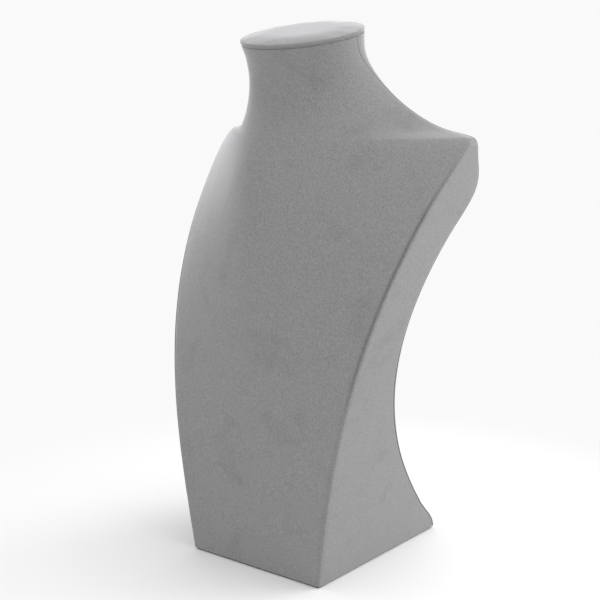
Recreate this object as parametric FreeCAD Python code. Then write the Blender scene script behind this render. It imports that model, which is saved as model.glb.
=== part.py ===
import FreeCAD
import Part
import math
import os
from collections import Counter

# Necklace display bust, in millimetres. +Z is up and the front faces -Y.
# A moulded core stands on a felt pad and is wrapped in four velvet covers, and a padded cap closes the neck.
# The origin is the middle of the foot, on the surface that the bust stands on.
# A sweep or a lean is a slope in Y for each millimetre of height.

# Foot
base_width = 105.6
base_depth = 133.0
pad_thickness = 0.8
pad_inset = 1.5
foot_height = 18.0
foot_back = 53.0
foot_sweep = -1.02

# Crease between the front and the side, from the foot to the shoulder tip
crease_lean = -0.064
crease_sweep = 1.11
tip_front = 28.3

# Edge between the side and the back, from the foot to the shoulder tip
waist_height = 138.0
waist_back = -14.0
blade_height = 234.3
blade_back = 37.3
blade_sweep = 1.08
tip_back = 36.1

# Centre lines down the front and the back
front_lean = -0.045
chest_height = 248.0
chest_front = -69.6
chest_lean = 0.055
throat_drop = 13.5
throat_front = -41.5
back_crown = 2.8
nape_drop = 9.0
nape_back = 15.8
nape_sweep = -0.15

# Fullness of the cross sections: how far out they run straight from the centre line,
# and the places that the curve to the crease or to the back edge leans towards
front_flat_base = 14.5
front_flat_chest = 14.8
back_flat_base = 20.0
back_flat_blade = 33.0
full_base = 38.0
full_base_lean = 0.07
full_chest = 56.0
full_chest_height = 235.0
full_chest_front = -43.6
full_chest_sweep = 0.457
back_full_base = 42.0
back_full_blade = 74.0
back_full_sweep = -0.35

# Front elevation: the sides, the shoulder tips and the ridges that sweep up to the neck
shoulder_width = 198.6
shoulder_height = 275.7
side_lean_base = 0.126
side_lean_top = 0.156
corner_radius = 5.5
ridge_slope = 7.2
ridge_start = 0.69
ridge_end = 0.09
ridge_top_width = 79.3
ridge_rise = 53.3
ridge_set = -13.1
ridge_width = 6.0
ridge_pull = -21.4

# Neck. Its top leans forward, and the cap seats on it.
neck_width = 81.6
neck_depth = 67.2
neck_set = -16.5
neck_rise = 8.6
neck_tilt = 12.8
neck_flare = -0.25
neck_roundness = 0.976

# Heights that follow from the shoulder's: the ridges end where the neck begins,
# and the throat and the nape are hollows a little below that
ridge_top_height = shoulder_height + ridge_rise
neck_height = ridge_top_height + neck_rise
throat_height = ridge_top_height - throat_drop
nape_height = ridge_top_height - nape_drop

# Velvet covers, glued on the core
cover_thickness = 1.2
glue_line = 0.1

# Cap: a board and a foam padding inside a velvet cover that is tucked under the board
cap_overhang = 1.0
cap_cover_thickness = 0.9
cap_height = 3.9
cap_rim_run = 14.0
cap_rim_fullness = 0.64
cap_board_thickness = 1.0
cap_tuck_width = 8.0
cap_clearance = 0.1
cap_board_top = cap_cover_thickness + cap_clearance + cap_board_thickness

# Number of cross sections along each stretch
foot_sections = 2
side_sections = 10
corner_sections = 4
ridge_sections = 8
neck_sections = 2

# Share of its half axis at which the poles of a quarter oval lie
OVAL_SHARE = 0.5523


def cubic(share, start, end, start_rate=0.0, end_rate=0.0):
    """Smooth run from start to end for a share from 0 to 1, with its rates of change at both ends."""
    square = share ** 2
    cube = share ** 3
    value = start * (2 * cube - 3 * square + 1) + end * (3 * square - 2 * cube)
    return value + start_rate * (cube - 2 * square + share) + end_rate * (cube - square)


def climb(height, low, high):
    """Place at a height between two marks, each a (height, place, slope)."""
    rise = high[0] - low[0]
    return cubic((height - low[0]) / rise, low[1], high[1], low[2] * rise, high[2] * rise)


def climb_through(height, marks):
    """Place at a height on the curve through several marks."""
    for low, high in zip(marks, marks[1:]):
        if height <= high[0]:
            return climb(height, low, high)
    return climb(height, marks[-2], marks[-1])


def front_line(height):
    """Y of the centre line down the front."""
    return climb_through(height, [
        (pad_thickness, -base_depth / 2, front_lean),
        (chest_height, chest_front, chest_lean),
        (throat_height, throat_front, 0.0),
        (neck_height, neck_set - neck_depth / 2, neck_flare)])


def crease_line(height):
    """Y of the crease between the front and the side, up to the shoulder tip."""
    return climb_through(height, [
        (pad_thickness, -base_depth / 2, crease_lean),
        (shoulder_height, tip_front, crease_sweep)])


def back_edge_line(height):
    """Y of the edge between the side and the back, up to the shoulder tip."""
    return climb_through(height, [
        (pad_thickness, base_depth / 2, 0.0),
        (foot_height, foot_back, foot_sweep),
        (waist_height, waist_back, 0.0),
        (blade_height, blade_back, blade_sweep),
        (corner_point(0, 0).z, tip_back, 0.0)])


def back_line(height):
    """Y of the centre line down the back, crowned past the edges as far up as the shoulder tips."""
    tip_height = corner_point(0, 0).z
    if height <= tip_height:
        return back_edge_line(height) + back_crown * min(1.0, height / blade_height)
    return climb_through(height, [
        (tip_height, tip_back + back_crown, nape_sweep),
        (nape_height, nape_back, nape_sweep),
        (neck_height, neck_set + neck_depth / 2, 0.0)])


def flat_line(height, base, body_height, body):
    """Half width of the straight middle of the front or the back."""
    neck = OVAL_SHARE * neck_width / 2
    return climb_through(height, [
        (pad_thickness, base, 0.0), (body_height, body, 0.0),
        (ridge_top_height, neck, 0.0), (neck_height, neck, 0.0)])


def neck_pole(width, side, middle):
    """Half width and Y of the pole between the middle and the side of an oval neck section."""
    return neck_roundness * width / 2, side + OVAL_SHARE * (middle - side)


def full_front(height):
    """Half width and Y of the pole that fills the chest between its middle and the crease."""
    throat = neck_pole(ridge_top_width, ridge_set - ridge_width / 2, front_line(ridge_top_height))
    top = neck_pole(neck_width, neck_set - ridge_width / 2, front_line(neck_height))
    half_width = climb_through(height, [
        (pad_thickness, full_base, full_base_lean), (full_chest_height, full_chest, 0.0),
        (ridge_top_height, throat[0], 0.0), (neck_height, top[0], 0.0)])
    return half_width, climb_through(height, [
        (pad_thickness, -base_depth / 2, 0.0), (full_chest_height, full_chest_front, full_chest_sweep),
        (ridge_top_height, throat[1], 0.0), (neck_height, top[1], 0.0)])


def full_back(height):
    """Half width and Y of the pole that fills the back between its middle and the side."""
    tip_height = corner_point(0, 0).z
    nape = neck_pole(ridge_top_width, ridge_set + ridge_width / 2, back_line(ridge_top_height))
    top = neck_pole(neck_width, neck_set + ridge_width / 2, back_line(neck_height))
    half_width = climb_through(height, [
        (pad_thickness, back_full_base, 0.0), (blade_height, back_full_blade, 0.0),
        (ridge_top_height, nape[0], 0.0), (neck_height, top[0], 0.0)])
    if height <= tip_height:
        return half_width, back_line(height)
    return half_width, climb_through(height, [
        (tip_height, back_line(tip_height), back_full_sweep),
        (ridge_top_height, nape[1], 0.0), (neck_height, top[1], 0.0)])


def lean_line(height):
    """Slope of the cross sections, level up to the shoulder tips and leaning forward with the neck's top."""
    tip_height = corner_point(0, 0).z
    share = max(0.0, height - tip_height) / (neck_height - tip_height)
    return math.tan(math.radians(neck_tilt)) * cubic(share, 0.0, 1.0)


def corner_point(share, inset):
    """Point on the arc round the shoulder tip in the front elevation, at an inset below the velvet."""
    lean = math.atan(side_lean_top)
    turn = math.pi / 2 + lean - math.radians(ridge_slope)
    reach = corner_radius * math.tan(turn / 2)
    low = FreeCAD.Vector(shoulder_width / 2, 0, shoulder_height)
    low -= FreeCAD.Vector(math.sin(lean), 0, math.cos(lean)) * reach
    centre = low - FreeCAD.Vector(math.cos(lean), 0, -math.sin(lean)) * corner_radius
    angle = turn * share - lean
    return centre + FreeCAD.Vector(math.cos(angle), 0, math.sin(angle)) * (corner_radius - inset)


def ridge_curve():
    """Curve in the front elevation from the shoulder tip up to the neck."""
    start = corner_point(1, 0)
    end = FreeCAD.Vector(ridge_top_width / 2, 0, ridge_top_height)
    reach = (end - start).Length
    slope = math.radians(ridge_slope)
    away = FreeCAD.Vector(-math.cos(slope), 0, math.sin(slope)) * ridge_start * reach
    below = FreeCAD.Vector(0, 0, -ridge_end * reach)
    curve = Part.BezierCurve()
    curve.setPoles([start, start + away, end + below, end])
    return curve


def ridge_point(share, inset):
    """Point on the ridge, moved square to it by the inset."""
    curve = ridge_curve()
    along = curve.tangent(share)[0]
    return curve.value(share) + FreeCAD.Vector(-along.z, 0, along.x) * inset


def section(outer_point, inner_point, crease, edge, inset):
    """Cross section through a point of the front elevation, moved inward by the inset.

    Its plan is half an outline, from the middle of the front round to the middle of the back.
    """
    height = outer_point.z
    front, back = front_line(height), back_line(height)
    full_x, full_y = full_front(height)
    back_x, back_y = full_back(height)
    outline = [
        (0, front),
        (flat_line(height, front_flat_base, chest_height, front_flat_chest), front),
        (full_x, full_y),
        (outer_point.x, crease),
        (outer_point.x, edge),
        (back_x, back_y),
        (flat_line(height, back_flat_base, blade_height, back_flat_blade), back),
        (0, back)]
    plan = moved_inward([FreeCAD.Vector(x, y, 0) for x, y in outline], inset)
    for corner in (plan[3], plan[4]):
        corner.x = inner_point.x
    return [
        FreeCAD.Vector(pole.x, pole.y, inner_point.z + lean_line(height) * (pole.y - neck_set))
        for pole in plan]


def moved_inward(plan, inset):
    """Half an outline moved inward by the inset, with mitred corners."""
    before = [FreeCAD.Vector(-plan[1].x, plan[1].y, 0)] + plan[:-1]
    after = plan[1:] + [FreeCAD.Vector(-plan[-2].x, plan[-2].y, 0)]
    moved = []
    for last, pole, following in zip(before, plan, after):
        arriving = (pole - last).normalize()
        leaving = (following - pole).normalize()
        both = arriving + leaving
        spread = 1 + arriving.dot(leaving)
        moved.append(pole + FreeCAD.Vector(-both.y, both.x, 0) * (inset / spread))
    return moved


def side_heights():
    """Heights of the cross sections below the shoulder tip, closer together in the foot."""
    rise = corner_point(0, 0).z - foot_height
    foot = [pad_thickness + (foot_height - pad_thickness) * i / foot_sections for i in range(foot_sections)]
    return foot + [foot_height + rise * i / side_sections for i in range(side_sections)]


def side_section(height, inset):
    """Cross section between the foot and the shoulder tip."""
    tip = corner_point(0, 0)
    half_width = climb(height, (pad_thickness, base_width / 2, side_lean_base), (tip.z, tip.x, side_lean_top))
    outer = FreeCAD.Vector(half_width, 0, height)
    inner = FreeCAD.Vector(half_width - inset, 0, height)
    return section(outer, inner, crease_line(height), back_edge_line(height), inset)


def corner_section(share, inset):
    """Cross section through the shoulder tips, where the velvet turns over the corner."""
    outer = corner_point(share, 0)
    return section(outer, corner_point(share, inset), crease_line(outer.z), tip_back, inset)


def ridge_section(share, inset):
    """Cross section between the shoulder tips and the neck."""
    crease = cubic(share, crease_line(corner_point(1, 0).z), ridge_set - ridge_width / 2)
    edge = cubic(share, tip_back, ridge_set + ridge_width / 2, ridge_pull)
    return section(ridge_point(share, 0), ridge_point(share, inset), crease, edge, inset)


def neck_section(share, inset):
    """Cross section between the ridges and the neck's top."""
    height = ridge_top_height + (neck_height - ridge_top_height) * share
    half_width = cubic(share, ridge_top_width / 2, neck_width / 2, 0.0, neck_width - ridge_top_width)
    outer = FreeCAD.Vector(half_width, 0, height)
    inner = FreeCAD.Vector(half_width - inset, 0, height)
    middle = cubic(share, ridge_set, neck_set)
    return section(outer, inner, middle - ridge_width / 2, middle + ridge_width / 2, inset)


def sections(inset):
    """All cross sections from the foot to the neck's top, at an inset below the velvet."""
    found = [side_section(height, inset) for height in side_heights()]
    found += [corner_section(i / corner_sections, inset) for i in range(corner_sections)]
    found += [ridge_section(i / ridge_sections, inset) for i in range(ridge_sections)]
    found += [neck_section(i / neck_sections, inset) for i in range(neck_sections + 1)]
    return found


def row_parameters():
    """Parameters of the sections up the body, by their spacing along the outer crease."""
    creases = [poles[3] for poles in sections(0)]
    parameters = [0.0]
    for low, high in zip(creases, creases[1:]):
        parameters.append(parameters[-1] + (high - low).Length)
    return parameters


def patch(rows, side, first, last):
    """Face over rows of poles, on one side of the body, between two parameters."""
    poles = [[FreeCAD.Vector(side * pole.x, pole.y, pole.z) for pole in row.getPoles()] for row in rows]
    surface = Part.BSplineSurface()
    surface.buildFromPolesMultsKnots(
        poles, [len(rows), len(rows)], rows[0].getMultiplicities(), [0, 1], rows[0].getKnots(),
        False, False, len(rows) - 1, rows[0].Degree)
    surface.segment(0, 1, first, last)
    return surface.toShape()


def skin(inset):
    """Faces of the body at an inset below the velvet, by panel, by stretch and by side."""
    parameters = row_parameters()
    rows = []
    for points in zip(*sections(inset)):
        row = Part.BSplineCurve()
        row.interpolate(Points=list(points), Parameters=parameters)
        rows.append(row)
    tip = parameters[foot_sections + side_sections + corner_sections // 2]
    stretches = {"low": (parameters[0], tip), "high": (tip, parameters[-1])}
    panels = {"front": rows[0:4], "side": rows[3:5], "back": rows[4:8]}
    return {
        (panel, stretch, side): patch(panels[panel], side, *stretches[stretch])
        for panel in panels for stretch in stretches for side in (1, -1)}


def edge_place(edge):
    """Key that is the same for two edges that lie on each other."""
    return tuple(round(value, 3) for value in edge.CenterOfMass)


def free_edges(faces):
    """Edges that only one of the faces has, as (face number, edge number)."""
    places = Counter(edge_place(edge) for face in faces for edge in face.Edges)
    return [
        (i, j) for i, face in enumerate(faces) for j, edge in enumerate(face.Edges)
        if places[edge_place(edge)] == 1]


def closed_solid(faces):
    """Solid inside a closed set of faces."""
    shell = Part.Shell(faces)
    shell.sewShape()
    solid = Part.makeSolid(Part.Shell(shell.Faces))
    if solid.Volume < 0:
        solid.reverse()
    return solid


def rim(edge, mate):
    """Narrow face between two matching edges. The one without a twist is the smaller."""
    turned = mate.copy()
    turned.reverse()
    return min((Part.makeRuledSurface(edge, other) for other in (mate, turned)), key=lambda face: face.Area)


def cover(names):
    """Velvet cover over the named panels, closed along its rims."""
    outer_skin, inner_skin = skin(0), skin(cover_thickness)
    outer = [outer_skin[name] for name in names]
    inner = [inner_skin[name] for name in names]
    rims = [rim(outer[i].Edges[j], inner[i].Edges[j]) for i, j in free_edges(outer)]
    return closed_solid(outer + inner + rims)


def front_cover():
    """Cover of the chest and the front of the neck. It wraps over the ridges to the back."""
    return cover([
        (panel, stretch, side) for side in (1, -1)
        for panel, stretch in (("front", "low"), ("front", "high"), ("side", "high"))])


def side_cover(side):
    """Gusset between the front crease and the back edge, from the foot to the shoulder tip."""
    return cover([("side", "low", side)])


def side_cover_right():
    return side_cover(1)


def side_cover_left():
    return side_cover(-1)


def back_cover():
    """Cover of the back, from the foot to the neck's top."""
    return cover([("back", stretch, side) for side in (1, -1) for stretch in ("low", "high")])


def flat_ends(faces):
    """Flat faces that close the open rims of a skin, the lowest first."""
    rims = Part.sortEdges([faces[i].Edges[j] for i, j in free_edges(faces)])
    return sorted((Part.Face(Part.Wire(rim)) for rim in rims), key=lambda face: face.CenterOfMass.z)


def bust_core():
    """Moulded core under the covers."""
    faces = list(skin(cover_thickness + glue_line).values())
    return closed_solid(faces + flat_ends(faces))


def base_pad():
    """Felt pad under the foot, a little smaller than the covered foot."""
    foot = flat_ends(list(skin(pad_inset).values()))[0]
    return foot.extrude(FreeCAD.Vector(0, 0, -pad_thickness))


def round_oval(stretch):
    """Four faces that carry one stretch of the cap's profile, as (radius, height) poles, round its oval."""
    width = neck_width / 2 + cap_overhang
    depth = neck_depth / 2 / math.cos(math.radians(neck_tilt)) + cap_overhang
    quarter = [(1, 0), (1, OVAL_SHARE), (OVAL_SHARE, 1), (0, 1)]
    faces = []
    for right in (1, -1):
        for back in (1, -1):
            poles = [
                [FreeCAD.Vector(right * x * radius, back * y * radius * depth / width, height)
                 for x, y in quarter]
                for radius, height in stretch]
            surface = Part.BSplineSurface()
            surface.buildFromPolesMultsKnots(
                poles, [len(poles), len(poles)], [len(quarter), len(quarter)], [0, 1], [0, 1],
                False, False, len(poles) - 1, len(quarter) - 1)
            faces.append(surface.toShape())
    return faces


def cap_solid(*profile):
    """Solid from the stretches of a profile, in the plane of the neck's top."""
    faces = [face for stretch in profile for face in round_oval(stretch)]
    return closed_solid(faces + flat_ends(faces))


def cap_wall(inset, low):
    """Upright stretch of the cap's profile at an inset below its velvet, as high as its board."""
    radius = neck_width / 2 + cap_overhang - inset
    return [(radius, low), (radius, cap_board_top)]


def cap_dome(inset):
    """Stretch of the cap's profile over the padding's rim, up to its flat top, at an inset below its velvet."""
    radius = neck_width / 2 + cap_overhang - inset
    top = cap_height - inset
    return [
        (radius, cap_board_top),
        (radius, cap_board_top + cap_rim_fullness * (top - cap_board_top)),
        (radius - (1 - cap_rim_fullness) * cap_rim_run, top),
        (radius - cap_rim_run, top)]


def seated(piece):
    """Cap piece set on the leaning top of the neck."""
    piece.Placement = FreeCAD.Placement(
        FreeCAD.Vector(0, neck_set, neck_height), FreeCAD.Rotation(FreeCAD.Vector(1, 0, 0), neck_tilt))
    return piece


def cap_cover():
    """Velvet over the cap, turned round the edge of the board and tucked under it."""
    radius = neck_width / 2 + cap_overhang
    fold = [(radius - cap_cover_thickness, 0), (radius, cap_cover_thickness)]
    outside = cap_solid(fold, cap_wall(0, cap_cover_thickness), cap_dome(0))
    inside = cap_solid(cap_wall(cap_cover_thickness, cap_cover_thickness), cap_dome(cap_cover_thickness))
    opening_radius = neck_width / 2 - cap_tuck_width
    opening = cap_solid([(opening_radius, 0), (opening_radius, cap_cover_thickness + cap_clearance)])
    return seated(outside.cut(inside).cut(opening).Solids[0])


def cap_board():
    """Stiff board that the cap is built on."""
    inset = cap_cover_thickness + cap_clearance
    return seated(cap_solid(cap_wall(inset, inset)))


def cap_padding():
    """Foam between the board and the velvet."""
    return seated(cap_solid(cap_dome(cap_cover_thickness + cap_clearance)))


os.makedirs("parts", exist_ok=True)
for build in (
        bust_core, front_cover, side_cover_right, side_cover_left, back_cover,
        base_pad, cap_board, cap_padding, cap_cover):
    shape = build()
    shape.exportStep("parts/" + build.__name__ + ".step")
    print(build.__name__, shape.ShapeType, round(shape.Volume), "mm3, sound:", shape.isValid())
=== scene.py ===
# %% [markdown]
# # A necklace display bust in velvet
#
# A shop shows a necklace on a neck-and-shoulders form: a moulded core wrapped in short-pile
# velvet, with a padded cap over the neck and a felt pad under the foot. This lesson starts from
# the solid model of that bust, which holds every size and place, and gives it the looks: cloth
# that is soft at its edges, seams, a pile that glows where it is seen at a slant, and light.

# %% Load the solid model
import math

import bpy
import numpy as np
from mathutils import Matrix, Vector
from mathutils.bvhtree import BVHTree


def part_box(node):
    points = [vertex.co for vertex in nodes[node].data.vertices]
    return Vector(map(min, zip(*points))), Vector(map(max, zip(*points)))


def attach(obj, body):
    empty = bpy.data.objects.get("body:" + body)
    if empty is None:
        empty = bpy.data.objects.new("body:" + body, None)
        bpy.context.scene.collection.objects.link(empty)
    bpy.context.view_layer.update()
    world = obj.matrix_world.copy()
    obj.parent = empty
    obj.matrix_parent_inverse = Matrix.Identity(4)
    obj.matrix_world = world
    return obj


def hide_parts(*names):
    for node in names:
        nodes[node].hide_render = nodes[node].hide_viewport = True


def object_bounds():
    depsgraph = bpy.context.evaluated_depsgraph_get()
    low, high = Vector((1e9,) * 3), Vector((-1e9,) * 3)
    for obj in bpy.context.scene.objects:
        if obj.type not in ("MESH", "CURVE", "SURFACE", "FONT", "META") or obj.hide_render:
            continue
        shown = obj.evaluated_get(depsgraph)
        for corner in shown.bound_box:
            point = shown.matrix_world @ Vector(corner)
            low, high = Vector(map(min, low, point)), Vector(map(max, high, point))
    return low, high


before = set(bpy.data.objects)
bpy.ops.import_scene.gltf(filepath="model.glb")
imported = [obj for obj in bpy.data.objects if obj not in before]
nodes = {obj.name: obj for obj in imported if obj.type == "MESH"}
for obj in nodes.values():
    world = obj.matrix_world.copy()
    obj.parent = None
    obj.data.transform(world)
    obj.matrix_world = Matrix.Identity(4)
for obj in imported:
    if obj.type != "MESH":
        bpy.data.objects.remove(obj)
solid_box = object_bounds()
print("solid model:", [round(high - low, 4) for low, high in zip(*solid_box)], "m, nodes:", sorted(nodes))


# %% [markdown]
# ## Velvet
#
# Velvet is a cloth of short upright fibres. Seen along the fibres it is dark, because the light
# goes in between them, and seen across them it is bright, because their tips and sides catch it.
# The Principled shader's sheen does that. Two effects go on top: the pile itself, a fine grain
# that is bumpy and uneven in brightness, and the nap, soft patches where a hand has brushed the
# fibres another way.

# %% Helpers for node trees
def set_values(node, values):
    """Sets input sockets of a node by their names."""
    for name, value in values.items():
        node.inputs[name].default_value = value


def add_node(tree, kind, values=None, **settings):
    """A node of that kind in the tree, with its settings and the values of its input sockets."""
    node = tree.nodes.new(kind)
    for name, value in settings.items():
        setattr(node, name, value)
    set_values(node, values or {})
    return node


def wire(tree, source, target):
    """Links an output socket to an input socket."""
    tree.links.new(source, target)


def set_range(low, high, to_low, to_high):
    """Socket values for a Map Range node."""
    return {"From Min": low, "From Max": high, "To Min": to_low, "To Max": to_high}


def group_tree(name, size_name, results):
    """Shader group with a position and a size as inputs, and its input, output and 1 / size nodes."""
    group = bpy.data.node_groups.new(name, "ShaderNodeTree")
    group.interface.new_socket("Position", in_out="INPUT", socket_type="NodeSocketVector")
    group.interface.new_socket(size_name, in_out="INPUT", socket_type="NodeSocketFloat")
    for result in results:
        group.interface.new_socket(result, in_out="OUTPUT", socket_type="NodeSocketFloat")
    inside = add_node(group, "NodeGroupInput")
    outside = add_node(group, "NodeGroupOutput")
    per_metre = add_node(group, "ShaderNodeMath", {0: 1.0}, operation="DIVIDE")
    wire(group, inside.outputs[size_name], per_metre.inputs[1])
    return group, inside, outside, per_metre


# %% The pile: fine grain for bump and brightness
def pile_group():
    """Node group that turns a position into the height and the brightness of short fibres."""
    group, inside, outside, per_metre = group_tree("velvet pile", "Grain size", ("Height", "Brightness"))
    grain = add_node(group, "ShaderNodeTexNoise", {"Detail": 3.0, "Roughness": 0.65})
    wire(group, inside.outputs["Position"], grain.inputs["Vector"])
    wire(group, per_metre.outputs[0], grain.inputs["Scale"])
    wire(group, grain.outputs["Fac"], outside.inputs["Height"])
    uneven = add_node(group, "ShaderNodeMapRange", set_range(0.3, 0.7, 0.82, 1.18))
    wire(group, grain.outputs["Fac"], uneven.inputs["Value"])
    wire(group, uneven.outputs["Result"], outside.inputs["Brightness"])
    return group


PILE = pile_group()


# %% The nap: soft patches that a hand has brushed
def nap_group():
    """Node group that turns a position into the brightness of brushed patches, 1 where there are none."""
    group, inside, outside, per_metre = group_tree("brushed nap", "Patch size", ("Brightness",))
    patches = add_node(group, "ShaderNodeTexNoise", {"Detail": 4.0, "Roughness": 0.6, "Distortion": 0.6})
    wire(group, inside.outputs["Position"], patches.inputs["Vector"])
    wire(group, per_metre.outputs[0], patches.inputs["Scale"])
    rare = add_node(group, "ShaderNodeMapRange", set_range(0.30, 0.48, 0.91, 1.0),
                    interpolation_type="SMOOTHSTEP")
    wire(group, patches.outputs["Fac"], rare.inputs["Value"])
    wire(group, rare.outputs["Result"], outside.inputs["Brightness"])
    return group


NAP = nap_group()


# %% The velvet material
PILE_GRAIN = 0.0011
PILE_HEIGHT = 0.0004
NAP_PATCH = 0.03


def velvet(name, shade):
    """Grey velvet of a given shade, with painted shade that darkens its colour in the valley of a seam."""
    material = bpy.data.materials.new(name)
    material.use_nodes = True
    tree = material.node_tree
    surface = tree.nodes["Principled BSDF"]
    set_values(surface, {"Roughness": 1.0, "Specular IOR Level": 0.1, "Sheen Weight": 1.0,
                         "Sheen Roughness": 0.35, "Sheen Tint": (0.9, 0.9, 0.92, 1)})
    place = add_node(tree, "ShaderNodeTexCoord")
    pile = add_node(tree, "ShaderNodeGroup", node_tree=PILE)
    pile.inputs["Grain size"].default_value = PILE_GRAIN
    wire(tree, place.outputs["Object"], pile.inputs["Position"])
    colour = add_node(tree, "ShaderNodeMix", data_type="RGBA", blend_type="MULTIPLY")
    set_values(colour, {"Factor": 1.0, "A": (*shade, 1)})
    nap = add_node(tree, "ShaderNodeGroup", node_tree=NAP)
    nap.inputs["Patch size"].default_value = NAP_PATCH
    wire(tree, place.outputs["Object"], nap.inputs["Position"])
    # Painted shade: the seam attribute darkens the colour to 0.66 at the bottom of a seam valley.
    seam = add_node(tree, "ShaderNodeAttribute", attribute_name="seam")
    painted_seam_shade = add_node(tree, "ShaderNodeMapRange", set_range(0.0, 1.0, 1.0, 0.66))
    wire(tree, seam.outputs["Fac"], painted_seam_shade.inputs["Value"])
    brushed = add_node(tree, "ShaderNodeMath", operation="MULTIPLY")
    wire(tree, pile.outputs["Brightness"], brushed.inputs[0])
    wire(tree, nap.outputs["Brightness"], brushed.inputs[1])
    shaded = add_node(tree, "ShaderNodeMath", operation="MULTIPLY")
    wire(tree, brushed.outputs[0], shaded.inputs[0])
    wire(tree, painted_seam_shade.outputs["Result"], shaded.inputs[1])
    wire(tree, shaded.outputs[0], colour.inputs["B"])
    wire(tree, colour.outputs["Result"], surface.inputs["Base Color"])
    bump = add_node(tree, "ShaderNodeBump", {"Strength": 0.25, "Distance": PILE_HEIGHT})
    wire(tree, pile.outputs["Height"], bump.inputs["Height"])
    wire(tree, bump.outputs["Normal"], surface.inputs["Normal"])
    return material


GREY_VELVET = velvet("grey velvet", (0.225, 0.225, 0.228))
print("material:", GREY_VELVET.name)


# %% [markdown]
# ## The form under the velvet
#
# The solid model holds the bust as four thin covers on a core. Its faces are triangles of many
# sizes, which is right for a solid and poor for cloth, because soft edges and seams need even
# rows of small faces. So the form is measured instead: the bust is cut by rings from the foot to
# the neck, rays find where each ring meets the covers, and the rows of points are smoothed. The
# rings are level on the body and tilt with the neck, so that the last one lies on its slanted top.

# %% Measure the neck's slanted top
UPPER_SHARE = 0.9
SAME_PLANE = 0.9999
core = nodes["bust_core"].data
near_top = [face for face in core.polygons if face.center.z > UPPER_SHARE * solid_box[1][2]]
top_face = max(near_top, key=lambda face: face.area * face.normal.z)
top_normal = top_face.normal.copy()
top_y = [core.vertices[i].co.y for face in near_top if face.normal.dot(top_normal) > SAME_PLANE
         for i in face.vertices]
NECK_Y = (min(top_y) + max(top_y)) / 2
TOP_SLOPE = -top_normal.y / top_normal.z
NECK_TOP = top_face.center.z + TOP_SLOPE * (NECK_Y - top_face.center.y)
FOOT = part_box("front_cover")[0][2]
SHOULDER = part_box("side_cover_right")[1][2]
print("neck top at", round(NECK_TOP, 4), "y", round(NECK_Y, 4), "slope", round(TOP_SLOPE, 3),
      "foot", round(FOOT, 4), "shoulder", round(SHOULDER, 4))


# %% Rays that find the covers
def search_tree(names):
    """Search tree over the faces of some solid nodes, and the node that each face belongs to."""
    points = []
    faces = []
    owners = []
    for name in names:
        mesh = nodes[name].data
        first = len(points)
        points += [vertex.co.copy() for vertex in mesh.vertices]
        faces += [[first + i for i in face.vertices] for face in mesh.polygons]
        owners += [name] * len(mesh.polygons)
    return BVHTree.FromPolygons(points, faces), owners


COVERS = ("front_cover", "side_cover_right", "side_cover_left", "back_cover")
covers, cover_of = search_tree(COVERS)
OUTSIDE = 0.4
MIDDLE_GAP = 0.0002
MIDDLE_RAYS = (MIDDLE_GAP, 2.3 * MIDDLE_GAP, -1.6 * MIDDLE_GAP)
SIDESTEPS = (3e-5, 4e-4, 2e-3)
HALVINGS = 24
ANGLE_GAP = 0.0005


def ring_slope(level):
    """Slope of the ring at a level: none up to the shoulder, then more and more up to the neck's top."""
    share = min(max((level - SHOULDER) / (NECK_TOP - SHOULDER), 0.0), 1.0)
    return TOP_SLOPE * share * share * (3 - 2 * share)


def hit(level, middle, angle):
    """Point (x, y) and cover that a ray meets, coming in to the ring's middle from an angle off the front.

    Neighbouring covers only touch, so as a guard two more rays pass close beside the first, and the
    one that stops furthest out counts.
    """
    slope = ring_slope(level)
    centre = Vector((0, middle, level + slope * (middle - NECK_Y)))
    for aside in SIDESTEPS:
        stops = []
        for turned in (angle, angle + aside, angle - aside):
            out = Vector((math.sin(turned), -math.cos(turned), -slope * math.cos(turned)))
            place, _, face, _ = covers.ray_cast(
                centre + out * OUTSIDE, -out.normalized(), out.length * OUTSIDE)
            if place is not None:
                stops.append(((place - centre).length, (place.x, place.y), cover_of[face]))
        if stops:
            return max(stops)[1:]
    raise ValueError(f"no cover at level {level:.5f}, angle {angle:.4f}, middle {middle:.4f}")


def ring_middle(level):
    """Y halfway between the front and the back of the ring at a level."""
    slope = ring_slope(level)
    ends = []
    for towards in (1, -1):
        y = -OUTSIDE * towards
        stops = []
        for x in MIDDLE_RAYS:
            start = Vector((x, y, level + slope * (y - NECK_Y)))
            place = covers.ray_cast(start, Vector((0, towards, towards * slope)).normalized())[0]
            if place is not None:
                stops.append(place.y * towards)
        ends.append(min(stops) * towards)
    return sum(ends) / 2


def change_between(level, middle, low, high, below):
    """Angle at which the ring leaves the covers named in below, found by halving."""
    for _ in range(HALVINGS):
        angle = (low + high) / 2
        if hit(level, middle, angle)[1] in below:
            low = angle
        else:
            high = angle
    return low


def half_ring(level, rays):
    """Points round the right half of a ring, and the angles of its crease (if any) and its back edge."""
    middle = ring_middle(level)
    angles = np.linspace(ANGLE_GAP, math.pi - ANGLE_GAP, rays)
    found = [hit(level, middle, angle) for angle in angles]
    owners = [owner for _, owner in found]
    first_back = owners.index("back_cover")
    edge = change_between(level, middle, angles[first_back - 1], angles[first_back],
                          ("front_cover", "side_cover_right"))
    crease = None
    if "side_cover_right" in owners:
        first_side = owners.index("side_cover_right")
        crease = change_between(level, middle, angles[first_side - 1], angles[first_side], ("front_cover",))
    return middle, angles, np.array([point for point, _ in found]), crease, edge


# %% Rings at even steps along the outline
def softened(values, reach, axis=0):
    """Rows or columns of values smoothed by a bell curve of that reach, in samples. The ends stay."""
    half = int(math.ceil(3 * reach))
    bell = np.exp(-0.5 * (np.arange(-half, half + 1) / reach) ** 2)
    bell /= bell.sum()
    values = np.moveaxis(values, axis, 0)
    before = 2 * values[0] - values[half:0:-1]
    after = 2 * values[-1] - values[-2:-half - 2:-1]
    padded = np.concatenate([before, values, after])
    result = sum(weight * padded[i:i + len(values)] for i, weight in enumerate(bell))
    return np.moveaxis(result, 0, axis)


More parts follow.
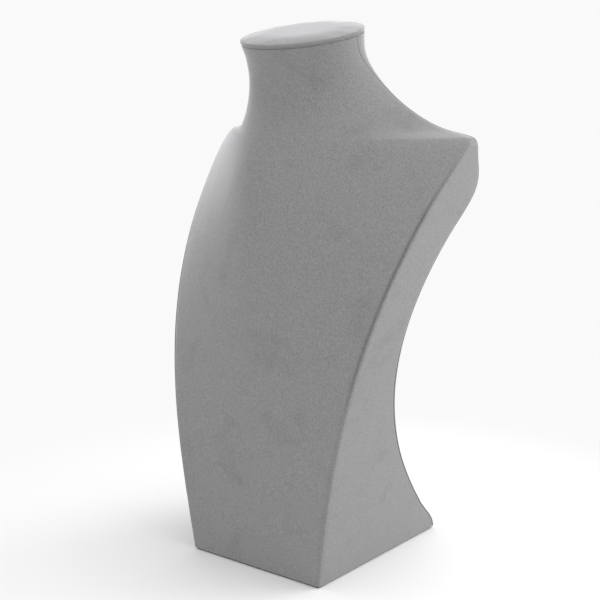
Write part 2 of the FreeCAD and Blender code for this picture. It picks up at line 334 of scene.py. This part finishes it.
RING_STEP = 0.0014
RAY_GAP = 0.00006
FINE_STEP = 0.0003
FEW_RAYS = 90
fine_levels = np.arange(FOOT + RAY_GAP, NECK_TOP - RAY_GAP, FINE_STEP)
fine_widths = np.array([half_ring(level, FEW_RAYS)[2][:, 0].max() for level in fine_levels])
walked = np.concatenate([[0], np.cumsum(np.hypot(np.diff(fine_levels), np.diff(fine_widths)))])
steps = np.linspace(0, walked[-1], int(walked[-1] / RING_STEP) + 1)
levels = np.interp(steps, walked, fine_levels)
print("rings:", len(levels), "shoulder half width", round(fine_widths.max(), 4))

# %% Front, side and back stretch of every ring
FRONT_COUNT = 61
SIDE_COUNT = 25
BACK_COUNT = 61
STRIP = 0.006
MANY_RAYS = 700
RING_SMOOTHING = 1.2


def spread(points, count):
    """A line through the points again, with that many points at even steps."""
    along = np.concatenate([[0], np.cumsum(np.hypot(*np.diff(points, axis=0).T))])
    even = np.linspace(0, along[-1], count)
    return np.stack([np.interp(even, along, points[:, 0]), np.interp(even, along, points[:, 1])], axis=1)


def three_stretches(level):
    """Front, side and back stretch of the right half of a ring, as one array of points."""
    middle, angles, points, crease, edge = half_ring(level, MANY_RAYS)
    edge_point = np.array([hit(level, middle, edge)[0]])
    ahead = np.concatenate([points[angles < edge], edge_point])
    if crease is None:
        to_edge = np.cumsum(np.hypot(*np.diff(ahead[::-1], axis=0).T))
        cut = len(ahead) - 2 - int(np.searchsorted(to_edge, STRIP))
        front, side = ahead[:cut + 1], ahead[cut:]
    else:
        crease_point = np.array([hit(level, middle, crease)[0]])
        front = np.concatenate([points[angles < crease], crease_point])
        side = np.concatenate([crease_point, points[(angles > crease) & (angles < edge)], edge_point])
    back = np.concatenate([edge_point, points[angles > edge]])
    return np.concatenate([spread(front, FRONT_COUNT), spread(side, SIDE_COUNT), spread(back, BACK_COUNT)])


outlines = softened(np.array([three_stretches(level) for level in levels]), RING_SMOOTHING)
print("outlines:", outlines.shape, "deepest", round(np.ptp(outlines[:, :, 1], axis=1).max(), 4), "m")

# %% Closer rings in the hem at the foot and in the turned edge at the neck's top
HEM_RADIUS = 0.0012
hem_rises = np.array([0.00015, 0.0003, 0.0005, 0.00075, 0.001])
hem_steps = np.union1d(np.union1d(steps, hem_rises), steps[-1] - hem_rises)
rows_at = np.interp(hem_steps, steps, np.arange(len(steps)))
lower = np.minimum(rows_at.astype(int), len(steps) - 2)
share = (rows_at - lower)[:, None, None]
outlines = outlines[lower] * (1 - share) + outlines[lower + 1] * share
levels = np.interp(hem_steps, steps, levels)
print("rings with the hem:", len(levels))

# %% [markdown]
# ## Panels, seams and hems
#
# The maker glues four pieces of velvet on the core. The two side gussets go on first and wrap a
# little round onto the front. The front piece then covers the chest and the neck and folds over
# the shoulders, and the back piece closes the rest. Where two pieces meet, both turn in: the seam
# is a narrow valley, just beside the edge of the core. Each ring becomes one smooth line through
# rounded edges, and each panel takes its own stretch of that line, with closer columns near seams.

# %% One smooth line for each ring
LINE_STEP = 0.0005
EDGE_ROUNDING = 0.0010
FRONT_SEAM_IN = 0.0016
BACK_SEAM_IN = 0.0015


def ring_line(i):
    """Points of half a ring at even steps, and how far along it the two edges of the side lie."""
    x, y = outlines[i].T
    along = np.concatenate([[0], np.cumsum(np.hypot(np.diff(x), np.diff(y)))])
    edges = along[FRONT_COUNT - 1], along[FRONT_COUNT + SIDE_COUNT - 1]
    even = np.linspace(0, along[-1], int(along[-1] / LINE_STEP))
    line = np.stack([np.interp(even, along, x), np.interp(even, along, y)], axis=1)
    return even, softened(line, EDGE_ROUNDING / (even[1] - even[0])), edges


CLOSE_COLUMNS = np.array([0, 0.35, 0.7, 1.05, 1.4, 1.8, 2.3, 3.0]) * 0.001
CLOSE_SHARE = 0.4


def columns_between(start, stop, near_start, near_stop, count):
    """Places between two seams, closer together beside a seam than in the middle."""
    fine = CLOSE_COLUMNS * min(1.0, CLOSE_SHARE * (stop - start) / CLOSE_COLUMNS[-1])
    low = start + fine if near_start else np.array([start])
    high = stop - fine[::-1] if near_stop else np.array([stop])
    middle = np.linspace(low[-1], high[0], count + 2)[1:-1]
    return np.concatenate([low, middle, high])


def valley(along, seam, breadth):
    """How deep a place lies in the valley of a seam, from 0 beside it to 1 at its bottom."""
    return np.exp(-((along - seam) / breadth) ** 2)


# %% How open the seams are from the foot to the neck
# Levels in metres, and how open the seam is there: 0 is closed, 1 as deep as the seams go.
FRONT_SEAM_OPEN = ([0, 0.11, 0.14, 0.23, 0.256, 0.264, 0.4], [0.2, 0.2, 0.8, 1.0, 0.3, 0.0, 0.0])
BACK_SEAM_OPEN = ([0, 0.13, 0.16, 0.25, 0.275, 0.4], [1.0, 1.0, 0.5, 0.4, 0.35, 0.35])
FRONT_SEAM_BREADTH = 0.0013
BACK_SEAM_BREADTH = 0.0007
NEAR = len(CLOSE_COLUMNS)
FRONT_MIDDLE = 44
SIDE_MIDDLE = 26

rings = []
for i, level in enumerate(levels):
    along, line, (crease, back_edge) = ring_line(i)
    front_seam = crease - FRONT_SEAM_IN
    back_seam = back_edge - BACK_SEAM_IN
    places = np.concatenate([
        columns_between(0, front_seam, False, True, FRONT_MIDDLE),
        columns_between(front_seam, back_seam, True, True, SIDE_MIDDLE)[1:],
        columns_between(back_seam, along[-1], True, False, FRONT_MIDDLE)[1:]])
    tangent = np.gradient(line, axis=0)
    normal = np.stack([tangent[:, 1], -tangent[:, 0]], axis=1)
    normal /= np.linalg.norm(normal, axis=1)[:, None]
    rise = min(level - FOOT, NECK_TOP - level, HEM_RADIUS) - HEM_RADIUS
    hem = HEM_RADIUS - math.sqrt(HEM_RADIUS ** 2 - rise ** 2)
    line = line - normal * hem
    x = np.interp(places, along, line[:, 0])
    y = np.interp(places, along, line[:, 1])
    depth = (valley(places, front_seam, FRONT_SEAM_BREADTH) * np.interp(level, *FRONT_SEAM_OPEN)
             + valley(places, back_seam, BACK_SEAM_BREADTH) * np.interp(level, *BACK_SEAM_OPEN))
    rings.append(np.stack([x, y, level + ring_slope(level) * (y - NECK_Y), depth], axis=1))
rings = np.array(rings)
rings[:, 0, 0] = 0
rings[:, -1, 0] = 0
FRONT_END = FRONT_MIDDLE + NEAR
SIDE_END = FRONT_END + NEAR - 1 + SIDE_MIDDLE + NEAR
print("grid:", rings.shape)


# %% Panels as meshes
def grid_mesh(name, grid, wanted):
    """Mesh over a grid of rows and columns, with the faces that are wanted, as wanted(row, column)."""
    rows, columns = grid.shape[:2]
    faces = [(r * columns + c, r * columns + c + 1, (r + 1) * columns + c + 1, (r + 1) * columns + c)
             for r in range(rows - 1) for c in range(columns - 1) if wanted(r, c)]
    used = sorted({i for face in faces for i in face})
    renumber = {old: new for new, old in enumerate(used)}
    flat = grid.reshape(-1, grid.shape[2])[used]
    mesh = bpy.data.meshes.new(name)
    corners = [[renumber[i] for i in face] for face in faces]
    mesh.from_pydata([tuple(point) for point in flat[:, :3]], [], corners)
    # The seam attribute sinks the seam valleys and also darkens the velvet there as painted shade.
    seam = mesh.attributes.new("seam", "FLOAT", "POINT")
    seam.data.foreach_set("value", flat[:, 3].astype(np.float32))
    mesh.shade_smooth()
    return mesh


def mirrored(grid):
    """The grid's other half, in the order that runs on from it."""
    return grid[:, ::-1] * np.array([-1, 1, 1, 1])


tip_row = int(np.searchsorted(levels, SHOULDER))
centre = rings.shape[1] - 1
whole = np.concatenate([mirrored(rings)[:, :-1], rings], axis=1)
panels = {
    "front_velvet": grid_mesh("front_velvet", whole, lambda r, c: (
        abs(c + 0.5 - centre) < FRONT_END or (r >= tip_row and abs(c + 0.5 - centre) < SIDE_END))),
    "right_gusset": grid_mesh("right_gusset", whole, lambda r, c: (
        r < tip_row and FRONT_END < c + 0.5 - centre < SIDE_END)),
    "left_gusset": grid_mesh("left_gusset", whole, lambda r, c: (
        r < tip_row and -SIDE_END < c + 0.5 - centre < -FRONT_END)),
    "back_velvet": grid_mesh("back_velvet", np.concatenate([rings, mirrored(rings)[:, 1:]], axis=1),
                             lambda r, c: SIDE_END < c + 0.5 < 2 * centre - SIDE_END)}
print({name: len(mesh.polygons) for name, mesh in panels.items()})

# %% [markdown]
# ## Settle the cloth
#
# Glued velvet isn't perfectly even: the glue and the cloth leave very low, broad waves, and the
# seams sink in. A small Geometry Nodes tree does both on every panel. It moves each point along
# its normal, by a noise for the waves and by the panel's own seam attribute for the valleys.

# %% The tree that settles the cloth
CLOTH_SETTINGS = {"Seam depth": 0.0007, "Wave height": 0.00012, "Wave length": 0.028, "Seed": 3.0}


def settle_tree():
    """Geometry Nodes tree that sinks the seams and adds broad low waves."""
    tree = bpy.data.node_groups.new("settle the cloth", "GeometryNodeTree")
    tree.is_modifier = True
    tree.interface.new_socket("Geometry", in_out="INPUT", socket_type="NodeSocketGeometry")
    for name, value in CLOTH_SETTINGS.items():
        tree.interface.new_socket(name, in_out="INPUT", socket_type="NodeSocketFloat").default_value = value
    tree.interface.new_socket("Cloth", in_out="INPUT", socket_type="NodeSocketMaterial")
    tree.interface.new_socket("Geometry", in_out="OUTPUT", socket_type="NodeSocketGeometry")
    inside = add_node(tree, "NodeGroupInput")
    seam = add_node(tree, "GeometryNodeInputNamedAttribute", data_type="FLOAT")
    seam.inputs["Name"].default_value = "seam"
    sunk = add_node(tree, "ShaderNodeMath", operation="MULTIPLY")
    wire(tree, seam.outputs["Attribute"], sunk.inputs[0])
    wire(tree, inside.outputs["Seam depth"], sunk.inputs[1])
    per_metre = add_node(tree, "ShaderNodeMath", {0: 1.0}, operation="DIVIDE")
    wire(tree, inside.outputs["Wave length"], per_metre.inputs[1])
    waves = add_node(tree, "ShaderNodeTexNoise", {"Detail": 1.0}, noise_dimensions="4D")
    wire(tree, per_metre.outputs[0], waves.inputs["Scale"])
    wire(tree, inside.outputs["Seed"], waves.inputs["W"])
    level_waves = add_node(tree, "ShaderNodeMapRange", set_range(0.0, 1.0, -1.0, 1.0))
    wire(tree, waves.outputs["Fac"], level_waves.inputs["Value"])
    raised = add_node(tree, "ShaderNodeMath", operation="MULTIPLY")
    wire(tree, level_waves.outputs["Result"], raised.inputs[0])
    wire(tree, inside.outputs["Wave height"], raised.inputs[1])
    out = add_node(tree, "ShaderNodeMath", operation="SUBTRACT")
    wire(tree, raised.outputs[0], out.inputs[0])
    wire(tree, sunk.outputs[0], out.inputs[1])
    normal = add_node(tree, "GeometryNodeInputNormal")
    along = add_node(tree, "ShaderNodeVectorMath", operation="SCALE")
    wire(tree, normal.outputs[0], along.inputs[0])
    wire(tree, out.outputs[0], along.inputs["Scale"])
    move = add_node(tree, "GeometryNodeSetPosition")
    wire(tree, inside.outputs["Geometry"], move.inputs["Geometry"])
    wire(tree, along.outputs[0], move.inputs["Offset"])
    whole_cloth = add_node(tree, "GeometryNodeRealizeInstances")
    wire(tree, move.outputs["Geometry"], whole_cloth.inputs["Geometry"])
    finish = add_node(tree, "GeometryNodeSetMaterial")
    wire(tree, whole_cloth.outputs["Geometry"], finish.inputs["Geometry"])
    wire(tree, inside.outputs["Cloth"], finish.inputs["Material"])
    outside = add_node(tree, "NodeGroupOutput")
    wire(tree, finish.outputs["Geometry"], outside.inputs["Geometry"])
    return tree


SETTLE = settle_tree()


# %% Run it on each panel and give the cloth its thickness
def add_piece(name, mesh):
    """Object for a mesh, in the scene."""
    piece = bpy.data.objects.new(name, mesh)
    bpy.context.scene.collection.objects.link(piece)
    return piece


def made_plain(piece):
    """The piece with its modifiers worked into its mesh."""
    shape = piece.evaluated_get(bpy.context.evaluated_depsgraph_get())
    mesh = bpy.data.meshes.new_from_object(shape)
    piece.modifiers.clear()
    piece.data = mesh
    return piece


def use_tree(piece, tree, **values):
    """Adds a Geometry Nodes modifier and sets its inputs by their names."""
    modifier = piece.modifiers.new(tree.name, "NODES")
    modifier.node_group = tree
    for item in tree.interface.items_tree:
        key = item.name.replace(" ", "_").lower()
        if item.in_out == "INPUT" and key in values:
            modifier[item.identifier] = values[key]
    return modifier


STANDS_FOR = {"front_velvet": "front_cover", "right_gusset": "side_cover_right",
              "left_gusset": "side_cover_left", "back_velvet": "back_cover"}
CLOTH_THICKNESS = 0.0009
for name, mesh in panels.items():
    panel = add_piece(name, mesh)
    use_tree(panel, SETTLE, cloth=GREY_VELVET)
    wall = panel.modifiers.new("thickness", "SOLIDIFY")
    wall.thickness = CLOTH_THICKNESS
    wall.offset = -1
    made_plain(panel)
    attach(panel, "root")
    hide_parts(STANDS_FOR[name])
    print(name, len(panel.data.polygons), "faces")

# %% [markdown]
# ## The padded cap
#
# The cap is a board with foam on it, wrapped in velvet that is turned under the board. The velvet
# is pulled over soft foam, so its top bulges a little and its rim is round. That is a job for a
# cloth simulation: a flat-topped oval of cloth is held by its lower rim, the pressure of the foam
# swells it, and no point may move further than a real pad would let it.

# %% Measure the solid cap in the plane of the neck's top
UP = Vector((0, -math.sin(math.atan(TOP_SLOPE)), math.cos(math.atan(TOP_SLOPE))))
BACKWARD = Vector((0, UP.z, -UP.y))
SEAT = Vector((0, NECK_Y, NECK_TOP))
cap_corners = [vertex.co - SEAT for vertex in nodes["cap_cover"].data.vertices]
CAP_WIDE = max(corner.x for corner in cap_corners)
CAP_DEEP = max(corner.dot(BACKWARD) for corner in cap_corners)
CAP_LOW = min(corner.dot(UP) for corner in cap_corners)
CAP_HIGH = max(corner.dot(UP) for corner in cap_corners)
print("cap half width", round(CAP_WIDE, 4), "half depth", round(CAP_DEEP, 4),
      "from", round(CAP_LOW, 4), "to", round(CAP_HIGH, 4))


# %% The cap's velvet before the foam swells it
CAP_FOLD = 0.0012
CAP_RIM_RUN = 0.014
CAP_RIM_FULLNESS = 0.64
CAP_ROUND = 120
CAP_EASE = 0.0002
CAP_TUCK = (0.007, 0.005, 0.003)
FOLD_POINTS = 5
RIM_POINTS = 14
FLAT_POINTS = 14
BOARD_HIGH = max((vertex.co - SEAT).dot(UP) for vertex in nodes["cap_board"].data.vertices)


def cap_profile():
    """(inset from the rim, height) from the tucked edge, round the fold and the rim, to the middle."""
    lean = (1 - CAP_RIM_FULLNESS) * CAP_RIM_RUN
    full = BOARD_HIGH + CAP_RIM_FULLNESS * (CAP_HIGH - BOARD_HIGH)
    tuck = [(inset, CAP_LOW) for inset in CAP_TUCK]
    fold = [(CAP_FOLD * (1 - math.sin(turn)), CAP_LOW + CAP_FOLD * (1 - math.cos(turn)))
            for turn in np.linspace(0, math.pi / 2, FOLD_POINTS)]
    rim = [(3 * (1 - t) * t ** 2 * lean + t ** 3 * CAP_RIM_RUN,
            (1 - t) ** 3 * BOARD_HIGH + 3 * (1 - t) ** 2 * t * full + (3 - 2 * t) * t ** 2 * CAP_HIGH)
           for t in np.linspace(0, 1, RIM_POINTS)]
    flat = [(inset, CAP_HIGH) for inset in np.linspace(CAP_RIM_RUN, CAP_WIDE, FLAT_POINTS)[1:-1]]
    return [(inset + CAP_EASE, height) for inset, height in tuck + fold + rim + flat]


def cap_mesh():
    """Oval mesh over the cap's profile, closed at the top."""
    profile = cap_profile()
    points = []
    for inset, height in profile:
        share = 1 - inset / CAP_WIDE
        for i in range(CAP_ROUND):
            turn = 2 * math.pi * i / CAP_ROUND
            points.append(SEAT + Vector((CAP_WIDE * share * math.cos(turn), 0, 0))
                          + BACKWARD * (CAP_DEEP * share * math.sin(turn)) + UP * height)
    points.append(SEAT + UP * CAP_HIGH)
    faces = [(r * CAP_ROUND + i, r * CAP_ROUND + (i + 1) % CAP_ROUND,
              (r + 1) * CAP_ROUND + (i + 1) % CAP_ROUND, (r + 1) * CAP_ROUND + i)
             for r in range(len(profile) - 1) for i in range(CAP_ROUND)]
    last_row = (len(profile) - 1) * CAP_ROUND
    faces += [(last_row + i, last_row + (i + 1) % CAP_ROUND, len(points) - 1) for i in range(CAP_ROUND)]
    mesh = bpy.data.meshes.new("cap_velvet")
    mesh.from_pydata([tuple(point) for point in points], [], faces)
    mesh.shade_smooth()
    return mesh


cap = add_piece("cap_velvet", cap_mesh())
print("cap faces:", len(cap.data.polygons))

# %% Swell it
SWELL_MOST = 0.0008
SMOOTHINGS = 6
FOAM_PRESSURE = 4.0
LAST_FRAME = 20
HELD_BELOW = CAP_LOW + CAP_FOLD * 1.05
before = [vertex.co.copy() for vertex in cap.data.vertices]
held = cap.vertex_groups.new(name="held")
held.add([i for i, place in enumerate(before) if (place - SEAT).dot(UP) < HELD_BELOW], 1.0, "REPLACE")
cloth = cap.modifiers.new("cloth", "CLOTH")
cloth.settings.quality = 8
cloth.settings.use_pressure = True
cloth.settings.uniform_pressure_force = FOAM_PRESSURE
cloth.settings.effector_weights.gravity = 0
cloth.settings.vertex_group_mass = "held"
for step in range(1, LAST_FRAME + 1):
    bpy.context.scene.frame_set(step)
made_plain(cap)
bpy.context.scene.frame_set(1)
moves = [vertex.co - start for vertex, start in zip(cap.data.vertices, before)]
print("the foam pushed up to", round(max(move.length for move in moves) * 1000, 2),
      "mm, kept under", SWELL_MOST * 1000)
moves = [move * min(1.0, SWELL_MOST / max(move.length, 1e-9)) for move in moves]
beside = [[] for _ in moves]
for edge in cap.data.edges:
    a, b = edge.vertices
    beside[a].append(b)
    beside[b].append(a)
for _ in range(SMOOTHINGS):
    moves = [(move + sum((moves[j] for j in near), Vector())) / (1 + len(near))
             for move, near in zip(moves, beside)]
for vertex, start, move in zip(cap.data.vertices, before, moves):
    vertex.co = start + move

# %% Finish the cap: painted shade along its lower fold, its thickness and a finer surface
CAP_THICKNESS = 0.0006
# Painted shade: 1 at the cap's tucked edge, fading to 0 one fold radius up; the velvet darkens its colour
# by it.
painted_fold_shade = cap.data.attributes.new("seam", "FLOAT", "POINT")
painted_fold_shade.data.foreach_set("value", [
    max(0.0, 1 - ((vertex.co - SEAT).dot(UP) - CAP_LOW) / CAP_FOLD) for vertex in cap.data.vertices])
finer = cap.modifiers.new("finer", "SUBSURF")
finer.levels = 1
finer.render_levels = 1
wall = cap.modifiers.new("thickness", "SOLIDIFY")
wall.thickness = CAP_THICKNESS
wall.offset = -1
made_plain(cap)
cap.data.materials.clear()
cap.data.materials.append(GREY_VELVET)
cap.data.shade_smooth()
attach(cap, "root")
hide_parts("cap_cover")
print("cap velvet:", len(cap.data.polygons), "faces")

# %% [markdown]
# ## What the velvet hides
#
# The core, the board and the foam don't show, and the felt pad shows only as a thin dark line
# under the foot. Each still gets the finish that it has on the real thing, because the model can
# be taken apart.


# %% Finishes for the hidden pieces and the felt
def plain_finish(name, shade, roughness, grain_size, bump_height):
    """Material with one fine grain that moves its colour and its surface."""
    material = bpy.data.materials.new(name)
    material.use_nodes = True
    tree = material.node_tree
    surface = tree.nodes["Principled BSDF"]
    surface.inputs["Roughness"].default_value = roughness
    place = add_node(tree, "ShaderNodeTexCoord")
    grain = add_node(tree, "ShaderNodeGroup", node_tree=PILE)
    grain.inputs["Grain size"].default_value = grain_size
    wire(tree, place.outputs["Object"], grain.inputs["Position"])
    colour = add_node(tree, "ShaderNodeMix", data_type="RGBA", blend_type="MULTIPLY")
    set_values(colour, {"Factor": 0.5, "A": (*shade, 1)})
    wire(tree, grain.outputs["Brightness"], colour.inputs["B"])
    wire(tree, colour.outputs["Result"], surface.inputs["Base Color"])
    bump = add_node(tree, "ShaderNodeBump", {"Strength": 0.3, "Distance": bump_height})
    wire(tree, grain.outputs["Height"], bump.inputs["Height"])
    wire(tree, bump.outputs["Normal"], surface.inputs["Normal"])
    return material


FINISHES = {
    "bust_core": plain_finish("moulded resin", (0.75, 0.72, 0.66), 0.55, 0.004, 0.0002),
    "base_pad": plain_finish("black felt", (0.03, 0.03, 0.03), 0.95, 0.0008, 0.0003),
    "cap_board": plain_finish("grey board", (0.45, 0.43, 0.40), 0.85, 0.0012, 0.0001),
    "cap_padding": plain_finish("white foam", (0.85, 0.85, 0.82), 0.9, 0.0009, 0.0004)}
for name, finish in FINISHES.items():
    nodes[name].data.materials.clear()
    nodes[name].data.materials.append(finish)
print("finishes:", sorted(FINISHES))


# %% [markdown]
# ## A white paper floor
#
# The bust stands on white paper in front of a white wall. Near the foot the paper is an ordinary
# surface, so it catches the bust's soft shadow. Further out it fades to an even white, which only
# the camera sees, so that no horizon shows and the paper adds no light of its own.

# %% The floor
FLOOR_REACH = 60
WHITE = 0.95
FADE_START = 0.12
FADE_END = 0.34


def paper_material():
    """White paper that takes shadows near the origin and is an even white further out."""
    paper = bpy.data.materials.new("white paper")
    paper.use_nodes = True
    tree = paper.node_tree
    near_paper = tree.nodes["Principled BSDF"]
    set_values(near_paper, {"Base Color": (0.84, 0.84, 0.84, 1), "Roughness": 0.8})
    far_paper = add_node(tree, "ShaderNodeEmission", {"Strength": WHITE})
    place = add_node(tree, "ShaderNodeTexCoord")
    away = add_node(tree, "ShaderNodeVectorMath", operation="LENGTH")
    wire(tree, place.outputs["Object"], away.inputs[0])
    fading = add_node(tree, "ShaderNodeMapRange", set_range(FADE_START, FADE_END, 0.0, 1.0),
                      interpolation_type="SMOOTHSTEP")
    wire(tree, away.outputs["Value"], fading.inputs["Value"])
    seen = add_node(tree, "ShaderNodeLightPath")
    only_seen = add_node(tree, "ShaderNodeMath", operation="MULTIPLY")
    wire(tree, fading.outputs["Result"], only_seen.inputs[0])
    wire(tree, seen.outputs["Is Camera Ray"], only_seen.inputs[1])
    blend = add_node(tree, "ShaderNodeMixShader")
    wire(tree, only_seen.outputs[0], blend.inputs["Fac"])
    wire(tree, near_paper.outputs[0], blend.inputs[1])
    wire(tree, far_paper.outputs[0], blend.inputs[2])
    wire(tree, blend.outputs[0], tree.nodes["Material Output"].inputs["Surface"])
    return paper


floor_mesh = bpy.data.meshes.new("floor")
floor_mesh.from_pydata([(-FLOOR_REACH, -FLOOR_REACH, 0), (FLOOR_REACH, -FLOOR_REACH, 0),
                        (FLOOR_REACH, FLOOR_REACH, 0), (-FLOOR_REACH, FLOOR_REACH, 0)], [], [(0, 1, 2, 3)])
floor_mesh.materials.append(paper_material())
floor = add_piece("floor", floor_mesh)
print("floor:", 2 * FLOOR_REACH, "m across")

# %% [markdown]
# ## Soft light
#
# Large square lamps stand round the bust, as softboxes do in a photo studio, and a bright room
# fills the shadows. The lamp behind on the right draws out the side, whose pile is seen at a
# slant. Their powers were chosen by rendering each lamp alone and comparing the mix with the
# brightness of a real bust: light adds up, so one render of each lamp is enough.

# %% The room
ROOM_LIGHT = 0.85


def studio_world():
    """Even room light, seen by the camera as a white wall."""
    world = bpy.data.worlds.new("studio")
    world.use_nodes = True
    tree = world.node_tree
    room = tree.nodes["Background"]
    set_values(room, {"Color": (1, 1, 1, 1), "Strength": ROOM_LIGHT})
    behind = add_node(tree, "ShaderNodeBackground", {"Color": (1, 1, 1, 1), "Strength": WHITE})
    path = add_node(tree, "ShaderNodeLightPath")
    choose = add_node(tree, "ShaderNodeMixShader")
    wire(tree, path.outputs["Is Camera Ray"], choose.inputs["Fac"])
    wire(tree, room.outputs[0], choose.inputs[1])
    wire(tree, behind.outputs[0], choose.inputs[2])
    wire(tree, choose.outputs[0], tree.nodes["World Output"].inputs["Surface"])
    return world


bpy.context.scene.world = studio_world()


# %% The lamps
LAMPS_AIM = (0, 0, 0.2)


def soft_lamp(name, place, size, power):
    """Square lamp that shines at the middle of the bust."""
    light = bpy.data.lights.new(name, "AREA")
    light.shape = "SQUARE"
    light.size = size
    light.energy = power
    lamp = bpy.data.objects.new(name, light)
    lamp.location = place
    lamp.rotation_euler = (Vector(LAMPS_AIM) - Vector(place)).to_track_quat("-Z", "Y").to_euler()
    bpy.context.scene.collection.objects.link(lamp)


soft_lamp("top softbox", (0.2, 0.2, 1.5), 1.2, 7)
soft_lamp("front fill", (-0.1, -1.4, 0.05), 0.8, 4.5)
soft_lamp("left softbox", (-1.3, -0.4, 0.4), 1.0, 1.5)
soft_lamp("right softbox", (1.3, 0.1, 0.6), 1.0, 2)
soft_lamp("softbox behind on the right", (0.9, 1.0, 0.6), 1.0, 11)

# %% [markdown]
# ## The camera
#
# The camera stands in front of the bust and to its side, a little above the shoulders, close
# enough for the upright edges to converge slightly. The Standard view keeps white paper white.

# %% Camera at the photograph's place
camera_data = bpy.data.cameras.new("camera")
camera_data.lens = 75.74
camera = bpy.data.objects.new("camera", camera_data)
camera.location = (0.4993, -0.6507, 0.3315)
camera.rotation_euler = (math.radians(78.65), 0, math.radians(38.31))
bpy.context.scene.collection.objects.link(camera)
bpy.context.scene.camera = camera
bpy.context.scene.view_settings.view_transform = "Standard"
